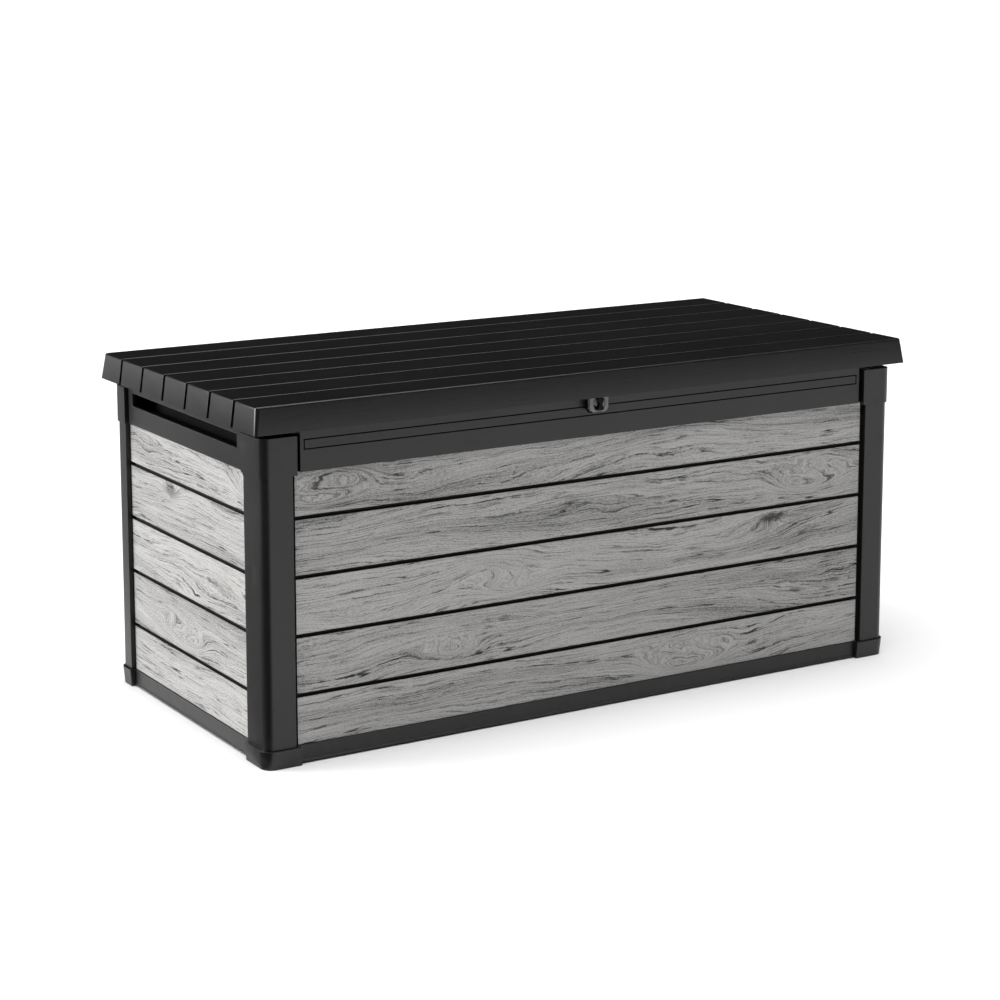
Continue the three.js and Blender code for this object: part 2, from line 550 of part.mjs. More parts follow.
const hingeName = ['left', 'middle', 'right'];
HINGE.xs.forEach((x, i) => {
  const { y, z, barrel, pin, pinHead, half, knuckle, knuckleGap } = HINGE;
  const plateY = FRONT_RAIL.y + GAP;
  const bore = cylinderX(pin + GAP, x - half - EPS, x + half + EPS, y, z);
  const leafTop = z - LEAF.bodyTop;
  const arm = (x0, x1) => block(x0, x1, plateY, y, leafTop - LEAF.arm, leafTop);
  const bodyLeaf = join(
    block(x - half, x + half, plateY, plateY + LEAF.thickness, LEAF.body0, leafTop),
    arm(x - half, x - knuckle), arm(x + knuckle, x + half),
    cylinderX(barrel, x - half, x - knuckle, y, z), cylinderX(barrel, x + knuckle, x + half, y, z));
  const bodyBores = bodyLeafScrews.slice(2 * i, 2 * i + 2).map(([sx, sz]) => screwBoreY(
    plateY - EPS, plateY + LEAF.thickness + EPS, sx, sz));
  add(`hinge_body_leaf_${hingeName[i]}`, cut(bodyLeaf, bore, ...bodyBores), blackPaint);

  const tongueHalf = knuckle - knuckleGap;
  const lidLeaf = join(
    block(x - LEAF.lidHalf, x + LEAF.lidHalf, LEAF.lidY, LEAF.lidY + LEAF.thickness, LEAF.lid0, LEAF.lid1),
    block(x - tongueHalf, x + tongueHalf, LEAF.lidY, LEAF.lidY + LEAF.thickness, z, LEAF.lid0 + EPS),
    cylinderX(barrel, x - tongueHalf, x + tongueHalf, y, z));
  const lidBores = lidLeafScrews.slice(2 * i, 2 * i + 2).map(([sx, sz]) => screwBoreY(
    LEAF.lidY - EPS, LEAF.lidY + LEAF.thickness + EPS, sx, sz));
  add(`hinge_lid_leaf_${hingeName[i]}`, cut(lidLeaf, bore, ...lidBores), blackPaint);

  add(`hinge_pin_${hingeName[i]}`, join(
    cylinderX(pin, x - half - 1, x + half + 1, y, z),
    cylinderX(pinHead, x - half - 2, x - half - GAP, y, z)), steel);
});

// ---- gas struts, drawn on the left side and mirrored to the right

// A piece drawn along +Z from the origin, turned about X and moved to its stud
const aimStrut = (geometry, from, to) => {
  const angle = Math.atan2(to.y - from.y, to.z - from.z);
  return geometry.rotateX(-angle).translate(-STRUT.x, from.y, from.z);
};
const tubeZ = (radius, z0, z1, sides = 20) => new THREE.CylinderGeometry(radius, radius, z1 - z0, sides)
  .rotateX(Math.PI / 2).translate(0, 0, (z0 + z1) / 2);
const eyeBlank = () => cylinderX(STRUT.eye, -STRUT.eyeHalf, STRUT.eyeHalf, 0, 0);
const eyeBore = () => cylinderX(STRUT.stud + GAP, -STRUT.eyeHalf - EPS, STRUT.eyeHalf + EPS, 0, 0);

const strutCylinder = aimStrut(cut(
  join(eyeBlank(), tubeZ(STRUT.neck, STRUT.stud, STRUT.neckEnd, 16),
    tubeZ(STRUT.radius, STRUT.tubeStart, STRUT.cylinder)),
  eyeBore(), tubeZ(STRUT.bore, STRUT.boreStart, STRUT.cylinder + EPS)), boxStud, lidStud);
const strutRod = aimStrut(cut(
  join(eyeBlank(), tubeZ(STRUT.rodRadius, STRUT.stud, STRUT.rod)), eyeBore()), lidStud, boxStud);

const studEnd = STRUT.x - STRUT.eyeHalf - EPS;
const wallPlateX = -panelInner + GAP;
const wallBracket = cut(
  join(
    wallPlate(wallPlateX, wallPlateX + WALL_BRACKET.plate),
    cylinderX(WALL_BRACKET.boss, wallPlateX + BITE, -STRUT.x - STRUT.eyeHalf - 2 * GAP, boxStud.y, boxStud.z),
    cylinderX(STRUT.stud, wallPlateX + EPS, -studEnd, boxStud.y, boxStud.z)),
  ...wallBores(-panelInner - EPS, wallPlateX + WALL_BRACKET.plate + EPS));

const lidBracketTop = LINER.z0 - GAP;
const lidBracketPart = (x1, z0) => block(
  -LID_BRACKET.x0, x1, lidStud.y - LID_BRACKET.halfY, lidStud.y + LID_BRACKET.halfY, z0, lidBracketTop);
const lidBracket = cut(
  join(
    lidBracketPart(-LID_BRACKET.x0 + LID_BRACKET.plate, lidStud.z - LID_BRACKET.below),
    lidBracketPart(-LID_BRACKET.x1, lidBracketTop - LID_BRACKET.plate),
    cylinderX(STRUT.stud, -LID_BRACKET.x0 + EPS, -studEnd, lidStud.y, lidStud.z)),
  ...lidBracketScrews.map(([x, y]) => screwBoreZ(
    lidBracketTop - LID_BRACKET.plate - EPS, lidBracketTop + EPS, -x, y)));

for (const [name, flip] of [['left', false], ['right', true]]) {
  const place = (geometry) => (flip ? mirrored(geometry, 'x') : geometry);
  add(`strut_cylinder_${name}`, place(strutCylinder), blackPaint);
  add(`strut_rod_${name}`, place(strutRod), steel);
  add(`strut_box_bracket_${name}`, place(wallBracket), blackPaint);
  add(`strut_lid_bracket_${name}`, place(lidBracket), blackPaint);
}

// ---- turn lock: a tab under the lid's edge, a knob with a padlock hole, a cam and a keeper

const lockTab = () => {
  const { x, z, tabHalf: w, tabBottom, tabRadius, tabTop, y0, y1, flangeBack, flange } = LOCK;
  const plate = prismY(outline([
    [x - w, tabBottom, tabRadius], [x + w, tabBottom, tabRadius], [x + w, tabTop], [x - w, tabTop],
  ]), -y0, -y1);
  return cut(
    join(plate, block(x - w, x + w, -y1 - BITE, -flangeBack, tabTop - flange, tabTop)),
    cylinderY(KNOB.radius + 2 * GAP, -y0 - EPS, -KNOB.seat, x, z),
    cylinderY(KNOB.shaft + GAP, -y0, -y1 + EPS, x, z),
    ...tabScrews.map(([sx, sy]) => screwBoreZ(tabTop - flange - EPS, tabTop + EPS, sx, sy)));
};
add('lock_tab', lockTab(), lockGrey);

// The fin is widest at its ends and narrow at its waist
const finShape = () => {
  const { half, endHalf, waistHalf } = FIN;
  return outline([
    [-endHalf, -half], [endHalf, -half], [waistHalf, 0], [endHalf, half], [-endHalf, half], [-waistHalf, 0],
  ].map(([u, v]) => [LOCK.x + u, LOCK.z + v]));
};
const knob = cut(
  join(
    cylinderY(KNOB.radius, -KNOB.seat - KNOB.disc, -KNOB.seat - GAP, LOCK.x, LOCK.z),
    cylinderY(KNOB.shaft, -KNOB.seat - EPS, -CAM.y1, LOCK.x, LOCK.z),
    prismY(finShape(), -FIN.y, -KNOB.seat - KNOB.disc + EPS)),
  cylinderX(KNOB.hole, LOCK.x - KNOB.radius, LOCK.x + KNOB.radius, -KNOB.holeY, LOCK.z, 20),
  screwBoreY(-CAM.y1 - SCREW.length - EPS, -CAM.y1 + EPS, LOCK.x, LOCK.z));
add('lock_knob', knob, blackPaint);

const cam = cut(
  join(
    cylinderY(CAM.hub, -CAM.y0, -CAM.y1, LOCK.x, LOCK.z),
    block(LOCK.x - CAM.half, LOCK.x + CAM.half, -CAM.y0, -CAM.y1, LOCK.z - CAM.reach, LOCK.z)),
  cylinderY(KNOB.shaft + GAP, -CAM.y0 - EPS, -CAM.y1 + EPS, LOCK.x, LOCK.z));
add('lock_cam', cam, steel);
add('lock_cam_screw', screwAt('+y', LOCK.x, -CAM.y1 + GAP, LOCK.z), steel);

const keeperPart = (y0, y1, z0) => block(
  LOCK.x + KEEPER.x0, LOCK.x + KEEPER.x1, -y0, -y1, z0, KEEPER.z1);
const keeper = cut(
  join(
    keeperPart(keeperFront, keeperSeat + GAP, KEEPER.z0),
    keeperPart(KEEPER.reach, keeperFront - BITE, KEEPER.z1 - KEEPER.ledge)),
  keeperBore);
add('lock_keeper', keeper, steel);
add('lock_keeper_screw', screwAt('-y', LOCK.x + KEEPER.screwX, -keeperFront - GAP, KEEPER.screwZ), steel);
['left', 'right'].forEach((name, i) => {
  const [x, y] = tabScrews[i];
  add(`lock_tab_screw_${name}`, screwAt('-z', x, y, LOCK.tabTop - LOCK.flange - GAP), steel);
});

export default group;
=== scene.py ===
"""Deck storage box: moulded resin frame, wood-print walls, a lid of seven boards and its hardware."""

import json
import math

import bmesh
import bpy
from mathutils import Matrix, Vector


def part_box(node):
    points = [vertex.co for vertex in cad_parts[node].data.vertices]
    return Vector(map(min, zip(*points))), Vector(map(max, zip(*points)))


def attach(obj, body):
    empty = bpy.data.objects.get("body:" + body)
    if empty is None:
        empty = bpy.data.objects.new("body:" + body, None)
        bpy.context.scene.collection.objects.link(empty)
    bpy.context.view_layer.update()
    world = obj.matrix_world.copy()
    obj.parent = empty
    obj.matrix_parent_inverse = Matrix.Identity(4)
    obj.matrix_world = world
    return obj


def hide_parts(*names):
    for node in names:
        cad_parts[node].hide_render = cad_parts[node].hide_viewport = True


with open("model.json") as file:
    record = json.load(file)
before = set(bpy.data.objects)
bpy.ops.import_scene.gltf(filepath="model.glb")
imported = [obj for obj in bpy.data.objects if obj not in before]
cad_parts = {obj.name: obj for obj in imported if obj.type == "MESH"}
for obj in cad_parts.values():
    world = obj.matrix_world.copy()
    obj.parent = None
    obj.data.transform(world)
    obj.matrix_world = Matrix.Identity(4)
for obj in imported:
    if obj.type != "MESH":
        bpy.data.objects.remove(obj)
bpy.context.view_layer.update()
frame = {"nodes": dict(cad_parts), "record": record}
NODES = frame["nodes"]
BODY_OF = {node: body for body, nodes in frame["record"]["behaviour"]["bodies"].items() for node in nodes}
MM = 0.001

# ---------------------------------------------------------------- shader maths


class Value:
    """A number that varies over a surface. Python's operators on it add Math nodes."""

    def __init__(self, look, socket):
        self.look = look
        self.socket = socket

    def _math(self, operation, first, second):
        return self.look.node("ShaderNodeMath", {"operation": operation}, {0: first, 1: second})

    def __add__(self, other):
        return self._math("ADD", self, other)

    def __sub__(self, other):
        return self._math("SUBTRACT", self, other)

    def __rsub__(self, other):
        return self._math("SUBTRACT", other, self)

    def __mul__(self, other):
        return self._math("MULTIPLY", self, other)

    def __truediv__(self, other):
        return self._math("DIVIDE", self, other)

    def __pow__(self, other):
        return self._math("POWER", self, other)

    __radd__ = __add__
    __rmul__ = __mul__

    def __abs__(self):
        return self._math("ABSOLUTE", self, 0.0)

    def floor(self):
        return self._math("FLOOR", self, 0.0)

    def least(self, other):
        return self._math("MINIMUM", self, other)


class Look:
    """One finish: a Principled shader and the nodes that feed it."""

    def __init__(self, name, **constants):
        self.material = bpy.data.materials.new(name)
        self.material.use_nodes = True
        self.tree = self.material.node_tree
        self.shader = self.tree.nodes["Principled BSDF"]
        for socket, value in constants.items():
            self.shader.inputs[socket.replace("_", " ")].default_value = value

    def node(self, kind, settings, sockets, output=0):
        made = self.tree.nodes.new(kind)
        for name, value in settings.items():
            setattr(made, name, value)
        for name, value in sockets.items():
            if isinstance(value, Value):
                self.tree.links.new(value.socket, made.inputs[name])
            else:
                made.inputs[name].default_value = value
        return Value(self, made.outputs[output])

    def feed(self, **sockets):
        for name, value in sockets.items():
            self.tree.links.new(value.socket, self.shader.inputs[name.replace("_", " ")])

    def place(self):
        return self.node("ShaderNodeTexCoord", {}, {}, "Object")

    def map(self, name):
        return self.node("ShaderNodeUVMap", {"uv_map": name}, {})

    def parts(self, vector):
        return [self.node("ShaderNodeSeparateXYZ", {}, {0: vector}, axis) for axis in "XYZ"]

    def vector(self, x, y, z):
        return self.node("ShaderNodeCombineXYZ", {}, {"X": x, "Y": y, "Z": z})

    def stretched(self, vector, x, y, z):
        return self.node("ShaderNodeVectorMath", {"operation": "MULTIPLY"}, {0: vector, 1: (x, y, z)})

    def noise(self, vector, scale=1.0, detail=2.0, roughness=0.5):
        return self.node("ShaderNodeTexNoise", {}, {
            "Vector": vector, "Scale": scale, "Detail": detail, "Roughness": roughness})

    def ease(self, value, low, high, start=0.0, end=1.0):
        """start below low, end above high, with a soft change between."""
        return self.node("ShaderNodeMapRange", {"interpolation_type": "SMOOTHSTEP"}, {
            "Value": value, "From Min": low, "From Max": high, "To Min": start, "To Max": end})

    def blend(self, share, first, second):
        """A colour between two colours, each a tuple or a Value."""
        made = self.tree.nodes.new("ShaderNodeMix")
        made.data_type = "RGBA"
        self.tree.links.new(share.socket, made.inputs["Factor"])
        for socket, colour in ((made.inputs[6], first), (made.inputs[7], second)):
            if isinstance(colour, Value):
                self.tree.links.new(colour.socket, socket)
            else:
                socket.default_value = (*colour, 1.0)
        return Value(self, made.outputs[2])

    def bump(self, height, depth, strength=1.0):
        return self.node("ShaderNodeBump", {}, {
            "Height": height, "Distance": depth, "Strength": strength}, "Normal")


# ---------------------------------------------------------------- finishes


def moulded_resin(name, tone, roughness, specular, dust):
    """Injection-moulded resin: spark-eroded skin, faint flow clouds, rubbed patches and floor dust."""
    look = Look(name, Specular_IOR_Level=specular)
    place = look.place()
    height = look.parts(place)[2]
    clouds = look.noise(place, 5.0, 3.0)
    skin = look.noise(place, 900.0, 2.0, 0.6)
    pits = look.noise(place, 330.0, 1.0)
    rubbed = look.ease(look.noise(place, 26.0, 4.0, 0.62), 0.56, 0.72)
    settled = look.ease(height, 0.09, 0.0) * look.ease(look.noise(place, 38.0, 4.0), 0.4, 0.7)
    dark = tuple(0.86 * tone for _ in range(3))
    light = tuple(1.16 * tone for _ in range(3))
    colour = look.blend(clouds, dark, light)
    colour = look.blend(settled * dust, colour, (0.11, 0.105, 0.1))
    look.feed(
        Base_Color=colour,
        Roughness=roughness + (clouds - 0.5) * 0.12 + rubbed * 0.07 + settled * 0.1 + (pits - 0.5) * 0.08,
        Normal=look.bump(skin * 0.7 + pits * 0.3, 0.12 * MM, 0.55),
    )
    return look.material


def lid_resin():
    """The lid's near-black resin, with a shallow brushed grain that runs along the boards."""
    look = Look("lid_resin", Specular_IOR_Level=0.5)
    place = look.place()
    x, y, z = look.parts(place)
    sway = (look.noise(look.stretched(place, 1.6, 7.0, 7.0), 1.0, 2.0) - 0.5) * 0.02
    grain_line = look.vector(x * 7.0, (y + sway) * 420.0, z * 420.0)
    grain = look.noise(grain_line, 1.0, 3.0, 0.6)
    skin = look.noise(place, 900.0, 2.0, 0.6)
    clouds = look.noise(place, 4.0, 3.0)
    rubbed = look.ease(look.noise(place, 18.0, 4.0, 0.62), 0.56, 0.74)
    colour = look.blend(clouds * 0.5 + grain * 0.5, (0.0026, 0.0026, 0.0027), (0.0056, 0.0056, 0.0057))
    look.feed(
        Base_Color=colour,
        Roughness=0.3 + (grain - 0.5) * 0.12 + (clouds - 0.5) * 0.06 + rubbed * 0.04,
        Normal=look.bump(grain * 0.75 + skin * 0.25, 0.2 * MM, 0.6),
    )
    return look.material


# Knots in the printed film: place along it, place across it, reach, push on the grain, darkness of the heart
KNOTS = [
    (1.160, 0.606, 0.022, -0.012, 1.0),
    (0.330, 0.300, 0.040, 0.030, 0.0),
    (1.900, 1.110, 0.030, 0.022, 0.7),
]
# Arches, where the grain runs in long loops: place along, place across, reach, and which way the loops point
ARCHES = [
    (1.215, 0.836, 0.060, 1.0),
    (0.520, 0.575, 0.055, -1.0),
    (1.020, 0.070, 0.058, 1.0),
    (0.240, 1.075, 0.060, 1.0),
    (2.150, 0.325, 0.056, -1.0),
    (0.900, 1.330, 0.056, 1.0),
]
FILM_STEP = 0.25      # the film's boards lie this far apart on its map


def wood_print():
    """Weathered grey wood printed on the boards: wavy hairlines, soft bands, speckle and a few knots, with
    painted shade along each board's edges and ends.
    """
    look = Look("wood_print_resin", Specular_IOR_Level=0.28)
    film = look.map("film")
    along, across, _ = look.parts(film)
    wall_place, board_place, _ = look.parts(look.map("board"))

    swell = look.noise(look.vector(along * 1.5, across * 5.5, 0.0), 1.0, 1.5) - 0.5
    ripple = look.noise(look.vector(along * 9.0, across * 16.0, 4.0), 1.0, 3.0, 0.6) - 0.5
    jitter = look.noise(look.vector(along * 70.0, across * 60.0, 7.0), 1.0, 2.0) - 0.5
    flow = across + swell * 0.15 + ripple * 0.014 + jitter * 0.002
    heart = None
    for knot_along, knot_across, reach, push, depth in KNOTS:
        du = (along - knot_along) * 0.36 + ripple * 0.03
        dv = across - knot_across + ripple * 0.02 + jitter * 0.012
        away = (du * du + dv * dv) ** 0.5
        flow = flow + look.ease(away, 0.0, reach, push, 0.0)
        spot = look.ease(away, reach * 0.1, reach * 0.7, depth, 0.0)
        heart = spot if heart is None else heart + spot
    for arch_along, arch_across, reach, way in ARCHES:
        run = along - arch_along
        du = run * 0.36
        dv = across - arch_across
        share = look.ease((du * du + dv * dv) ** 0.5, reach * 0.3, reach, 1.0, 0.0)
        flow = flow + share * (dv * dv * 22.0 - run * (0.16 * way) + ripple * 0.02 - dv)

    coarse = abs(look.noise(look.vector(along * 1.7, flow * 62.0, 3.0), 1.0, 1.0) - 0.5)
    middling = abs(look.noise(look.vector(along * 2.4, flow * 118.0, 8.0), 1.0, 1.0) - 0.5)
    fine = abs(look.noise(look.vector(along * 4.0, flow * 260.0, 15.0), 1.0, 1.0) - 0.5)
    fade = look.ease(look.noise(look.vector(along * 3.6, flow * 26.0, 9.0), 1.0, 2.0), 0.4, 0.6)
    gaps = look.noise(look.vector(along * 34.0, flow * 90.0, 11.0), 1.0, 2.0)
    broken = look.ease(gaps, 0.36, 0.56, 0.2, 1.0)
    coarse_line = look.ease(coarse, 0.0, 0.017, 1.0, 0.0) * fade * broken
    middling_line = look.ease(middling, 0.0, 0.03, 1.0, 0.0) * broken
    fine_line = look.ease(fine, 0.0, 0.07, 1.0, 0.0)
    band = look.ease(look.noise(look.vector(along * 1.1, flow * 22.0, 5.0), 1.0, 3.0), 0.42, 0.74)
    streak = look.noise(look.vector(along * 9.0, flow * 420.0, 1.0), 1.0, 3.0, 0.62)
    fibre = look.noise(look.vector(along * 120.0, flow * 800.0, 6.0), 1.0, 2.0, 0.6)
    speckle = look.noise(film, 420.0, 2.0, 0.7)
    pores = look.ease(look.noise(look.vector(along * 130.0, flow * 520.0, 2.0), 1.0, 1.0), 0.6, 0.7)

    row = board_place.floor()
    up = board_place - row
    side = (wall_place / 2.0).floor()
    board_tone = look.node("ShaderNodeTexWhiteNoise", {"noise_dimensions": "2D"}, {
        "Vector": look.vector(row + 0.5, side + 0.5, 0.0)})
    # Painted shade: each board is darker along its top and bottom edges and towards its ends, where it meets
    # the grooves and the posts.
    rim = look.ease(up.least(1.0 - up), 0.0, 0.05, 1.0, 0.0)
    board_run = wall_place - side * 2.0
    board_end_shade = look.ease(board_run.least(1.0 - board_run), 0.0, 0.01, 1.0, 0.0)

    shade = 1.08 - band * 0.34 - coarse_line * 0.95 - middling_line * 0.5 - fine_line * 0.2 - pores * 0.24
    shade = shade + (streak - 0.5) * 1.0 + (fibre - 0.5) * 0.9 + (speckle - 0.5) * 1.5
    # Board tone and knot hearts are print; the rim and end terms subtract the painted shade.
    shade = (shade + (board_tone - 0.5) * 0.1 - heart.least(1.0) * (0.45 + streak * 0.5)
             - rim * 0.14 - board_end_shade * 0.1)
    shade = look.ease(shade, -0.1, 1.4)
    pale = (0.43, 0.424, 0.414)
    deep = (0.018, 0.018, 0.019)
    look.feed(
        Base_Color=look.blend(shade, deep, pale),
        Roughness=0.62 + band * 0.08 + (fibre - 0.5) * 0.2 + coarse_line * 0.1,
        Normal=look.bump(shade * 0.7 + fibre * 0.3 - coarse_line * 0.5, 0.35 * MM, 0.5),
    )
    return look.material


def brushed_steel(name, tone, roughness):
    """Zinc-plated steel: faint spangle, drawn lines and a little handling haze."""
    look = Look(name, Metallic=1.0)
    place = look.place()
    spangle = look.node("ShaderNodeTexVoronoi", {}, {"Vector": place, "Scale": 240.0}, "Color")
    haze = look.noise(place, 30.0, 4.0, 0.6)
    lines = look.noise(look.stretched(place, 60.0, 900.0, 900.0), 1.0, 2.0)
    low = tuple(0.78 * tone for _ in range(3))
    high = tuple(1.12 * tone for _ in range(3))
    plated = look.blend(haze, low, high)
    dulled = look.node("ShaderNodeMix", {"data_type": "RGBA", "blend_type": "SOFT_LIGHT"}, {
        "Factor": 0.25, 6: plated, 7: spangle}, 2)
    look.feed(
        Base_Color=dulled,
        Roughness=roughness + (haze - 0.5) * 0.22 + (lines - 0.5) * 0.1,
        Normal=look.bump(lines, 0.04 * MM, 0.4),
    )
    return look.material


def black_paint():
    """Powder-coated metal: orange-peel skin and slightly bared edges of wear."""
    look = Look("black_powder_coat", Specular_IOR_Level=0.5)
    place = look.place()
    peel = look.noise(place, 420.0, 2.0)
    wear = look.ease(look.noise(place, 70.0, 5.0, 0.7), 0.66, 0.76)
    colour = look.blend(wear * 0.5, (0.012, 0.012, 0.013), (0.07, 0.07, 0.072))
    look.feed(
        Base_Color=colour,
        Roughness=0.32 + (peel - 0.5) * 0.2 + wear * 0.15,
        Normal=look.bump(peel, 0.08 * MM, 0.5),
    )
    return look.material


def satin_lock_resin():
    """The lock tab's lighter satin resin with fine vertical draw lines."""
    look = Look("lock_resin", Specular_IOR_Level=0.5)
    place = look.place()
    clouds = look.noise(place, 60.0, 3.0)
    skin = look.noise(place, 1200.0, 2.0)
    scratch = look.ease(look.noise(look.stretched(place, 700.0, 120.0, 60.0), 1.0, 2.0), 0.6, 0.72)
    colour = look.blend(clouds, (0.105, 0.105, 0.107), (0.15, 0.15, 0.152))
    look.feed(
        Base_Color=look.blend(scratch * 0.35, colour, (0.2, 0.2, 0.2)),
        Roughness=0.34 + (clouds - 0.5) * 0.14 + scratch * 0.08,
        Normal=look.bump(skin, 0.05 * MM, 0.4),
    )
    return look.material


def shadow_resin():
    """Painted shade: the frame's resin painted near-black, dull and rough, for the faces deep in a groove or
    a pocket.
    """
    look = Look("painted_shade_resin", Specular_IOR_Level=0.08)
    place = look.place()
    skin = look.noise(place, 700.0, 2.0, 0.6)
    dust = look.noise(place, 40.0, 4.0, 0.6)
    look.feed(
        Base_Color=look.blend(dust, (0.0015, 0.0015, 0.0016), (0.0034, 0.0034, 0.0034)),
        Roughness=0.8 + (dust - 0.5) * 0.2,
        Normal=look.bump(skin, 0.1 * MM, 0.4),
    )
    return look.material


def pale_floor():
    look = Look("studio_floor", Roughness=0.9, Specular_IOR_Level=0.1)
    clouds = look.noise(look.place(), 0.6, 2.0)
    look.feed(Base_Color=look.blend(clouds, (0.86, 0.86, 0.86), (0.88, 0.88, 0.88)))
    return look.material


FRAME_RESIN = moulded_resin("frame_resin", 0.0065, 0.36, 0.45, 0.06)
PANEL_RESIN = moulded_resin("panel_backing_resin", 0.005, 0.65, 0.2, 0.05)
PAINTED_SHADE_RESIN = shadow_resin()
KNOB_RESIN = moulded_resin("knob_resin", 0.002, 0.25, 0.08, 0.0)
LID_RESIN = lid_resin()
WOOD_PRINT = wood_print()
LOCK_RESIN = satin_lock_resin()
STEEL = brushed_steel("zinc_plated_steel", 0.6, 0.34)
BRIGHT_STEEL = brushed_steel("polished_rod_steel", 0.72, 0.16)
BLACK_PAINT = black_paint()

# ---------------------------------------------------------------- making pieces

FACET = math.radians(30)      # edges that turn more than this are sharp on the moulded part


def merged_copy(node):
    """A CAD node's mesh as a bmesh, with its loose triangles joined and flat areas cleaned."""
    bm = bmesh.new()
    bm.from_mesh(NODES[node].data)
    for layer in list(bm.loops.layers.uv.values()):
        bm.loops.layers.uv.remove(layer)
    bmesh.ops.remove_doubles(bm, verts=bm.verts, dist=1e-5)
    bmesh.ops.dissolve_limit(bm, angle_limit=math.radians(0.6), verts=bm.verts, edges=bm.edges)
    return bm


def is_sharp(edge):
    return len(edge.link_faces) == 2 and edge.calc_face_angle() > FACET


def weigh_edges(bm, weight):
    """Gives each sharp edge its share of the Bevel modifier's width; weight is a function of the edge."""
    layer = bm.edges.layers.float.new("bevel_weight_edge")
    for edge in bm.edges:
        if is_sharp(edge):
            edge[layer] = weight(edge)


def make_piece(bm, name, body, materials, replaced=(), radius=0.0, segments=3, wall=0.0):
    """Turns a bmesh into a piece that rides on a body, with rounded edges and even shading."""
    for edge in bm.edges:
        edge.smooth = not is_sharp(edge)
    for face in bm.faces:
        face.smooth = True
    mesh = bpy.data.meshes.new(name)
    bm.to_mesh(mesh)
    bm.free()
    for material in materials:
        mesh.materials.append(material)
    piece = bpy.data.objects.new(name, mesh)
    bpy.context.collection.objects.link(piece)
    if radius:
        rounding = piece.modifiers.new("rounding", "BEVEL")
        rounding.limit_method = "WEIGHT"
        rounding.width = radius
        rounding.segments = segments
        rounding.use_clamp_overlap = True
        rounding.harden_normals = False
    if wall:
        shell = piece.modifiers.new("wall", "SOLIDIFY")
        shell.thickness = wall
        shell.offset = -1
        shell.use_even_offset = True
    shading = piece.modifiers.new("even shading", "WEIGHTED_NORMAL")
    shading.keep_sharp = True
    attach(piece, body)
    if replaced:
        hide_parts(*replaced)
    return piece


def rounded(node, name, material, radius, segments=3, weight=lambda edge: 1.0):
    """A moulded part on its CAD shape, with every sharp edge rounded."""
    bm = merged_copy(node)
    weigh_edges(bm, weight)
    return make_piece(bm, name, BODY_OF[node], [material], [node], radius, segments)


CORNERS = ["front_left", "front_right", "rear_left", "rear_right"]
SIDES = ["left", "right"]

# ---------------------------------------------------------------- posts, collars, feet and base rails

for corner in CORNERS:
    rounded(f"corner_post_{corner}", f"post_{corner}", FRAME_RESIN, 1.2 * MM)
    rounded(f"post_collar_{corner}", f"collar_{corner}", FRAME_RESIN, 1.4 * MM)
    rounded(f"foot_{corner}", f"foot_cup_{corner}", FRAME_RESIN, 1.6 * MM)
for side in ("front", "rear", "left", "right"):
    rounded(f"base_rail_{side}", f"base_channel_{side}", FRAME_RESIN, 0.9 * MM, 2)

# ---------------------------------------------------------------- top rails

RAIL_FACE = -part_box("front_top_rail")[0].y        # how far forward the front rail's face stands
ENGRAVED_DEPTH = 2.2 * MM
SLOT_RIM = 5 * MM
POCKET_Z = (581 * MM, 647 * MM)


def engraved(points):
    """True on the front rail's engraved outline and in the pocket behind the lock."""
    forward = [-p.y for p in points]
    return min(forward) > RAIL_FACE - ENGRAVED_DEPTH and max(forward) < RAIL_FACE + 0.1 * MM


def front_rail():
    """The front rail: its engraved outline and lock pocket get painted shade and stay crisp, its long edges
    rounder.
    """
    bm = merged_copy("front_top_rail")
    for face in bm.faces:
        points = [v.co for v in face.verts]
        if engraved(points) and min(-p.y for p in points) < RAIL_FACE - 0.5 * MM:
            face.material_index = 1
    weigh_edges(bm, lambda edge: 0.0 if any(f.material_index for f in edge.link_faces) else 1.0)
    make_piece(bm, "rail_front", "box", [FRAME_RESIN, PAINTED_SHADE_RESIN], ["front_top_rail"],
               1.5 * MM)


def side_rail(side):
    """A side rail with painted shade on the faces inside its hand-hold pocket."""
    node = f"side_rail_{side}"
    low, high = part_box(node)
    pocket = Vector(((low.x + high.x) / 2, (low.y + high.y) / 2, sum(POCKET_Z) / 2))
    outer = max(abs(low.x), abs(high.x))
    bm = merged_copy(node)
    for face in bm.faces:
        # Faces inside the hand-hold pocket, facing its middle, get the painted-shade resin.
        spot = face.calc_center_median()
        inside = POCKET_Z[0] < spot.z < POCKET_Z[1] and abs(spot.x) < outer - SLOT_RIM
        if inside and (pocket - spot).dot(face.normal) > 0:
            face.material_index = 1
    weigh_edges(bm, lambda edge: 0.4 if any(f.material_index for f in edge.link_faces) else 1.0)
    make_piece(bm, f"rail_{side}", "box", [FRAME_RESIN, PAINTED_SHADE_RESIN], [node], 1.2 * MM)


front_rail()
rounded("rear_top_rail", "rail_rear", FRAME_RESIN, 1.5 * MM)
for side in SIDES:
    side_rail(side)

# ---------------------------------------------------------------- wood-print walls

WALLS = [("front", 1, -1), ("rear", 1, 1), ("left", 0, -1), ("right", 0, 1)]
BOARD_STAND = 6.6 * MM       # boards stand out of the panel by a little less than this
BOARD_REACH = 2 * MM         # the printed boards run on past the panel's own, towards the posts

# Where each board's print starts, from the bottom board up: metres along the film, and which of its strips
FILM_SLIDE = {
    "front": [(0.13, 0), (0.0, 1), (0.06, 2), (0.0, 3), (0.2, 4)],
    "rear": [(0.9, 3), (0.35, 0), (1.4, 1), (0.2, 4), (0.7, 2)],
    "left": [(0.1, 5), (1.9, 1), (0.05, 6), (1.7, 4), (0.62, 3)],
    "right": [(1.7, 2), (2.1, 6), (2.6, 0), (0.9, 5), (0.5, 4)],
}


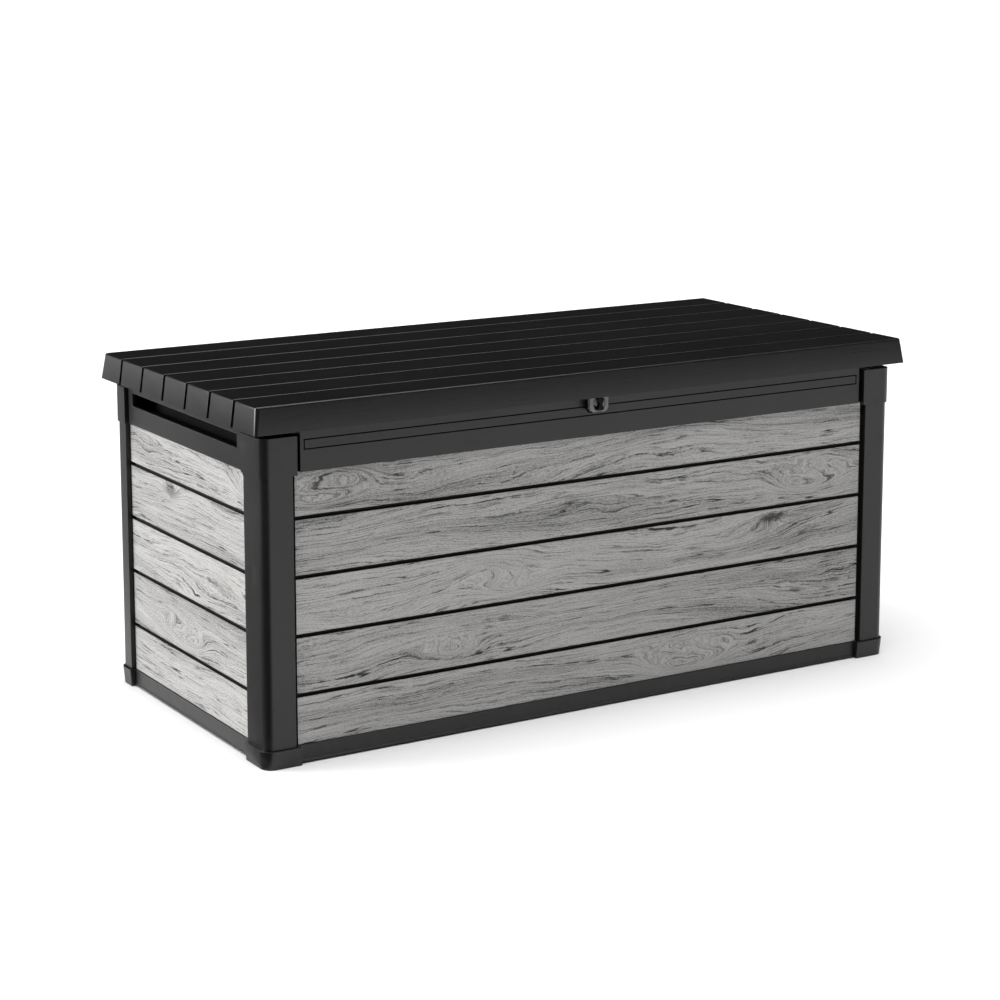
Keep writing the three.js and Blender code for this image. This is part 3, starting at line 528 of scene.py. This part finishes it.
def wood_wall(number, side, axis, sign):
    """A wall of boards: printed film on the board faces, dark resin in the grooves and inside."""
    node = f"{side}_panel"
    low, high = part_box(node)
    face_at = (low if sign < 0 else high)[axis]
    run = 1 - axis
    bm = merged_copy(node)
    fronts = [f for f in bm.faces if abs(f.calc_center_median()[axis] - face_at) < 0.2 * MM
              and abs(f.normal[axis]) > 0.99]
    film = bm.loops.layers.uv.new("film")
    board = bm.loops.layers.uv.new("board")
    rows = sorted({round(min(v.co.z for v in f.verts), 3) for f in fronts})
    start = min(v.co[run] for f in fronts for v in f.verts)
    end = max(v.co[run] for f in fronts for v in f.verts)
    for vert in bm.verts:
        depth = abs(vert.co[axis] - face_at)
        if depth < BOARD_STAND:
            for way, spot in ((1, start), (-1, end)):
                if abs(vert.co[run] - spot) < 0.1 * MM:
                    vert.co[run] -= way * BOARD_REACH
    start -= BOARD_REACH
    end += BOARD_REACH
    for face in bm.faces:
        face.material_index = 1
    for face in fronts:
        face.material_index = 0
        bottom = min(v.co.z for v in face.verts)
        top = max(v.co.z for v in face.verts)
        row = rows.index(round(bottom, 3))
        slide = FILM_SLIDE[side][row]
        for loop in face.loops:
            spot = loop.vert.co
            along = spot[run] - start
            if side in ("rear", "left"):
                along = end - spot[run]
            loop[film].uv = (along + slide[0], slide[1] * FILM_STEP + 0.02 + spot.z - bottom)
            share = (along / (end - start)) * 0.98 + 0.01
            loop[board].uv = (2 * number + share, row + 0.01 + 0.98 * (spot.z - bottom) / (top - bottom))
    weigh_edges(bm, lambda edge: 1.0 if any(f.material_index == 0 for f in edge.link_faces) else 0.35)
    return make_piece(bm, f"wall_{side}", BODY_OF[node],
                      [WOOD_PRINT, PANEL_RESIN], [node], 0.9 * MM, 3)


for number, (side, axis, sign) in enumerate(WALLS):
    wood_wall(number, side, axis, sign)

# ---------------------------------------------------------------- lid

LID_FLARE = Vector((7 * MM, 7.5 * MM, 0))       # how much smaller the lid's top is than its lower edge
BOARD_PITCH = 104 * MM
GROOVE_WIDTH = 9 * MM
GROOVE_DEPTH = 4.5 * MM
LID_WALL = 3.5 * MM
LID_ROUNDING = 8 * MM       # at the lid's upright corners
RIM_SHARE = 0.62            # the board ends' and long edges' share of that rounding
EDGE_SHARE = 0.15
SUNK_SHARE = 0.06


def lid_cover():
    """A flared shell of seven boards, folded over both ends and split by grooves."""
    low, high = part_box("lid_shell")
    top = high - LID_FLARE
    bm = bmesh.new()
    bmesh.ops.create_cube(bm, size=2)
    for vert in bm.verts:
        upper = vert.co.z > 0
        reach = top if upper else high
        vert.co = (vert.co.x * reach.x, vert.co.y * reach.y, high.z if upper else low.z)
    bmesh.ops.delete(bm, geom=[f for f in bm.faces if f.normal.z < -0.9], context="FACES")
    grooves = [(i - 2.5) * BOARD_PITCH for i in range(6)]
    for groove in grooves:
        for edge_y in (groove - GROOVE_WIDTH / 2, groove + GROOVE_WIDTH / 2):
            bmesh.ops.bisect_plane(bm, geom=bm.verts[:] + bm.edges[:] + bm.faces[:],
                                   plane_co=(0, edge_y, 0), plane_no=(0, 1, 0))
    strips = [f for f in bm.faces
              if min(abs(f.calc_center_median().y - groove) for groove in grooves) < GROOVE_WIDTH / 4]
    sunk = bmesh.ops.extrude_face_region(bm, geom=strips)["geom"]
    for vert in (g for g in sunk if isinstance(g, bmesh.types.BMVert)):
        if vert.co.z > high.z - 1e-5:
            vert.co.z -= GROOVE_DEPTH
        vert.co.x -= math.copysign(GROOVE_DEPTH, vert.co.x)
    bmesh.ops.delete(bm, geom=[f for f in strips if f.is_valid], context="FACES_ONLY")
    bmesh.ops.delete(bm, geom=[f for f in bm.faces if all(v.co.z < low.z + 1e-5 for v in f.verts)],
                     context="FACES")
    bmesh.ops.recalc_face_normals(bm, faces=bm.faces)

    def weight(edge):
        ends = [v.co for v in edge.verts]
        on_top = all(p.z > high.z - 1e-5 for p in ends)
        on_rim = on_top and (all(abs(p.x) > top.x - 1e-5 for p in ends) or
                             all(abs(p.y) > top.y - 1e-5 for p in ends))
        if on_rim:
            return RIM_SHARE
        at_corner = all(abs(p.x) > top.x - 1e-4 and abs(p.y) > top.y - 1e-4 for p in ends)
        if at_corner:
            return 1.0
        sunk_edge = all(p.z < high.z - GROOVE_DEPTH + 1e-5 or abs(p.x) < top.x - GROOVE_DEPTH + 1e-4
                        for p in ends)
        return SUNK_SHARE if sunk_edge and not on_top else EDGE_SHARE

    weigh_edges(bm, weight)
    # Groove faces where the boards fold over the lid's ends get painted shade; the grooves on top keep the
    # lid's resin.
    for face in bm.faces:
        spot = face.calc_center_median()
        in_groove = min(abs(spot.y - groove) for groove in grooves) < GROOVE_WIDTH / 2 + 0.1 * MM
        face.material_index = int(in_groove and abs(spot.x) > top.x - 2 * GROOVE_DEPTH)
    return make_piece(bm, "lid_cover", "lid", [LID_RESIN, PAINTED_SHADE_RESIN], ["lid_shell"],
                      LID_ROUNDING, 4, LID_WALL)


lid_cover()

# ---------------------------------------------------------------- lock

rounded("lock_tab", "lock_plate", LOCK_RESIN, 1.2 * MM, 3)
KNOB_DISC_FACE = 351.3 * MM      # the fin stands in front of the knob's disc


def turn_knob():
    """A satin disc with a glossy black fin."""
    bm = merged_copy("lock_knob")
    for face in bm.faces:
        face.material_index = int(-face.calc_center_median().y > KNOB_DISC_FACE)
    weigh_edges(bm, lambda edge: 1.0)
    make_piece(bm, "turn_knob", "lock", [LOCK_RESIN, KNOB_RESIN], ["lock_knob"], 0.6 * MM)


turn_knob()

# ---------------------------------------------------------------- parts that keep their CAD shape


def dress(node, material, radius, segments=2):
    """A CAD node keeps its shape and gets its finish and eased edges."""
    piece = NODES[node]
    piece.data.materials.clear()
    piece.data.materials.append(material)
    weld = piece.modifiers.new("weld", "WELD")
    weld.merge_threshold = 1e-5
    flat = piece.modifiers.new("clean flats", "DECIMATE")
    flat.decimate_type = "DISSOLVE"
    flat.angle_limit = math.radians(0.6)
    easing = piece.modifiers.new("easing", "BEVEL")
    easing.limit_method = "ANGLE"
    easing.angle_limit = FACET
    easing.width = radius
    easing.segments = segments


for node in NODES:
    if node.startswith(("hinge_body_leaf", "hinge_lid_leaf", "strut_box_bracket", "strut_lid_bracket")):
        dress(node, BLACK_PAINT, 0.4 * MM)
    elif node.startswith("strut_cylinder"):
        dress(node, BLACK_PAINT, 0.8 * MM)
    elif node.startswith("strut_rod"):
        dress(node, BRIGHT_STEEL, 0.4 * MM)
    elif "screw" in node or node.startswith(("hinge_pin", "lid_stiffener", "lock_cam", "lock_keeper")):
        dress(node, STEEL, 0.3 * MM)
    elif node.startswith("floor_"):
        dress(node, FRAME_RESIN, 0.8 * MM)
    elif node == "lid_liner":
        dress(node, LID_RESIN, 0.8 * MM)

# ---------------------------------------------------------------- screws that the solids leave out

SCREW_HEAD = 4.2 * MM
SCREW_HEIGHT = 2.2 * MM
SCREW_SHANK = 1.9 * MM
HINGE_SCREW_SPREAD = 24 * MM      # each side of a hinge's middle
LEAF_SEAT = 2.7 * MM              # from the leaf's box face to the seat of a screw's head
BODY_SCREW_Z = 606 * MM
LID_SCREW_Y = 345.3 * MM
LID_SCREW_Z = 658 * MM
BRACKET_SEAT = 3.2 * MM           # from a bracket's box face to the seat of a screw's head
WALL_SCREW_SPREAD = 18 * MM
LID_BRACKET_SPREAD = 12 * MM
LID_BRACKET_X = 658 * MM


def screw_group(name, body, places, facing, length):
    """Pan-head screws with a cross recess; places are the points under their heads."""
    bm = bmesh.new()
    turn = Vector((0, 0, 1)).rotation_difference(Vector(facing)).to_matrix().to_4x4()
    for place in places:
        outline = [(0, -length), (SCREW_SHANK, -length + 1.2 * MM), (SCREW_SHANK, 0), (SCREW_HEAD, 0),
                   (SCREW_HEAD, 0.45 * SCREW_HEIGHT), (0.72 * SCREW_HEAD, 0.9 * SCREW_HEIGHT),
                   (0.42 * SCREW_HEAD, SCREW_HEIGHT), (0, SCREW_HEIGHT)]
        points = [bm.verts.new((r, 0, z)) for r, z in outline]
        edges = [bm.edges.new(pair) for pair in zip(points, points[1:])]
        made = bmesh.ops.spin(bm, geom=points + edges, cent=(0, 0, 0), axis=(0, 0, 1), dvec=(0, 0, 0),
                              angle=2 * math.pi, steps=16, use_merge=True, use_duplicate=False)
        fresh = [v for v in bm.verts if not v.tag]
        bmesh.ops.remove_doubles(bm, verts=fresh, dist=1e-6)
        fresh = [v for v in bm.verts if not v.tag]
        crown = [v for v in fresh if v.co.z > 0.95 * SCREW_HEIGHT]
        for vert in crown:
            around = math.atan2(vert.co.y, vert.co.x)
            if abs(math.sin(2 * around)) < 0.4 or vert.co.xy.length < 0.1 * MM:
                vert.co.z -= 1.1 * MM
        bmesh.ops.transform(bm, matrix=Matrix.Translation(place) @ turn, verts=fresh)
        for vert in fresh:
            vert.tag = True
    bmesh.ops.recalc_face_normals(bm, faces=bm.faces)
    return make_piece(bm, name, body, [STEEL])


def hinge_screws():
    body_places, lid_places = [], []
    for name in ("left", "middle", "right"):
        low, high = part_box(f"hinge_body_leaf_{name}")
        mid = (low.x + high.x) / 2
        for offset in (-HINGE_SCREW_SPREAD, HINGE_SCREW_SPREAD):
            body_places.append((mid + offset, low.y + LEAF_SEAT, BODY_SCREW_Z))
            lid_places.append((mid + offset, LID_SCREW_Y, LID_SCREW_Z))
    screw_group("hinge_screws_body", "box", body_places, (0, 1, 0), 7 * MM)
    screw_group("hinge_screws_lid", "lid", lid_places, (0, -1, 0), 8 * MM)


hinge_screws()


def strut_screws():
    for side, sign in (("left", -1), ("right", 1)):
        low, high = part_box(f"strut_box_bracket_{side}")
        mid_y, mid_z = (low.y + high.y) / 2, (low.z + high.z) / 2
        wall_x = (low.x if sign < 0 else high.x) - sign * BRACKET_SEAT
        screw_group(f"strut_screws_wall_{side}", "box",
                    [(wall_x, mid_y, mid_z + dz) for dz in (-WALL_SCREW_SPREAD, WALL_SCREW_SPREAD)],
                    (-sign, 0, 0), 7 * MM)
        low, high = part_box(f"strut_lid_bracket_{side}")
        mid_y = (low.y + high.y) / 2
        screw_group(f"strut_screws_lid_{side}", "lid",
                    [(sign * LID_BRACKET_X, mid_y + dy, high.z - BRACKET_SEAT)
                     for dy in (-LID_BRACKET_SPREAD, LID_BRACKET_SPREAD)],
                    (0, 0, -1), 7 * MM)


strut_screws()

# ---------------------------------------------------------------- studio

FLOOR_REACH = 120
FLAG_REACH = 12
FLAG_HEIGHT = 1 * MM          # just above the floor
FLAG_SWEEP = (2, 166)         # degrees from straight ahead of the box, towards its left end
WORLD_STRENGTH = 0.012

floor_mesh = bpy.data.meshes.new("studio_floor")
floor_bm = bmesh.new()
bmesh.ops.create_grid(floor_bm, x_segments=1, y_segments=1, size=FLOOR_REACH)
floor_bm.to_mesh(floor_mesh)
floor_bm.free()
floor_mesh.materials.append(pale_floor())
studio_floor = bpy.data.objects.new("studio_floor", floor_mesh)
bpy.context.collection.objects.link(studio_floor)


def sun(name, toward, strength, softness):
    """A soft distant light; toward is the direction from the box to the light."""
    light = bpy.data.lights.new(name, "SUN")
    light.energy = strength
    light.angle = math.radians(softness)
    lamp = bpy.data.objects.new(name, light)
    lamp.rotation_mode = "QUATERNION"
    lamp.rotation_quaternion = Vector(toward).to_track_quat("Z", "Y")
    bpy.context.collection.objects.link(lamp)


def heading(around, above):
    """The direction at an angle round the box, from the front towards its left end, and above the floor."""
    a, e = math.radians(around), math.radians(above)
    return (-math.sin(a) * math.cos(e), -math.cos(a) * math.cos(e), math.sin(e))


sun("overhead_light", heading(20, 84), 4.1, 70)
sun("rim_light", heading(125, 13), 4.2, 38)


def black_flag(corner, start, end, reach):
    """A dark card on the studio floor that only reflections see, so that the rounded corners read dark."""
    bm = bmesh.new()
    centre = bm.verts.new((corner.x, corner.y, FLAG_HEIGHT))
    a = math.radians(start)
    rim = bm.verts.new((corner.x - math.sin(a) * reach, corner.y - math.cos(a) * reach, FLAG_HEIGHT))
    bmesh.ops.spin(bm, geom=[centre, rim, bm.edges.new((centre, rim))], cent=centre.co, axis=(0, 0, -1),
                   dvec=(0, 0, 0), angle=math.radians(end - start), steps=24)
    bmesh.ops.remove_doubles(bm, verts=bm.verts, dist=1e-5)
    mesh = bpy.data.meshes.new("black_flag")
    bm.to_mesh(mesh)
    bm.free()
    look = Look("flag_cloth", Base_Color=(0.004, 0.004, 0.004, 1), Roughness=1.0, Specular_IOR_Level=0.0)
    mesh.materials.append(look.material)
    flag = bpy.data.objects.new("black_flag", mesh)
    bpy.context.collection.objects.link(flag)
    for ray in ("camera", "diffuse", "transmission", "volume_scatter", "shadow"):
        setattr(flag, f"visible_{ray}", False)


black_flag(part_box("corner_post_front_left")[0], *FLAG_SWEEP, FLAG_REACH)

world = bpy.data.worlds.new("studio")
world.use_nodes = True
world.node_tree.nodes["Background"].inputs["Color"].default_value = (1, 1, 1, 1)
world.node_tree.nodes["Background"].inputs["Strength"].default_value = WORLD_STRENGTH
bpy.context.scene.world = world
bpy.context.scene.view_settings.view_transform = "Standard"

CAMERA_AT = Vector((-2.649, -4.2816, 1.5148))
CAMERA_AROUND = math.radians(-31.513)
CAMERA_ABOVE = math.radians(9.414)
camera_data = bpy.data.cameras.new("camera")
camera_data.lens = 88.557
camera_data.sensor_width = 36
camera_data.shift_y = -0.15
camera_data.clip_end = 400
camera = bpy.data.objects.new("camera", camera_data)
toward_camera = Vector((math.sin(CAMERA_AROUND) * math.cos(CAMERA_ABOVE),
                        -math.cos(CAMERA_AROUND) * math.cos(CAMERA_ABOVE), math.sin(CAMERA_ABOVE)))
camera.rotation_mode = "QUATERNION"
camera.rotation_quaternion = (-toward_camera).to_track_quat("-Z", "Y")
camera.location = CAMERA_AT
bpy.context.collection.objects.link(camera)
bpy.context.scene.camera = camera
